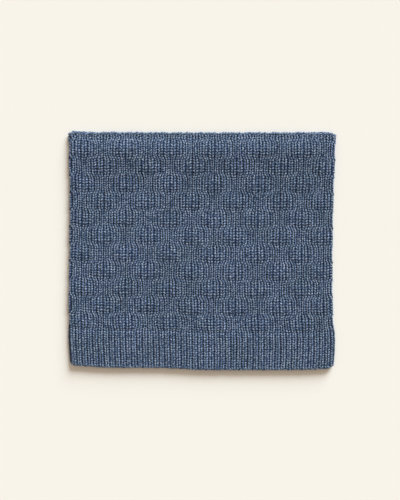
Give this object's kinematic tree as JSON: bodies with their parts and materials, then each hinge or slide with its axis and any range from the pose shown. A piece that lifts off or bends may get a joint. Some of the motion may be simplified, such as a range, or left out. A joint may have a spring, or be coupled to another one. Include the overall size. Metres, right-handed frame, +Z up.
{
  "type": "infinity scarf",
  "caption": "Knitted tube scarf laid flat, with staggered raised blocks, a ribbed hem and a bound-off top edge.",
  "frame": {"origin": "under the middle of the scarf, on the surface that it lies on", "axes": "+X across the scarf from side fold to side fold, +Y from the ribbed hem to the bound-off edge, +Z up off the surface"},
  "size_m": [0.28, 0.25, 0.0085],
  "materials": {
    "denim_blue_knit": "heathered soft-spun yarn, knitted, matt with a slight fuzz"
  },
  "bodies": {
    "root": {"front_panel": "denim_blue_knit", "back_panel": "denim_blue_knit"}
  },
  "joints": []
}
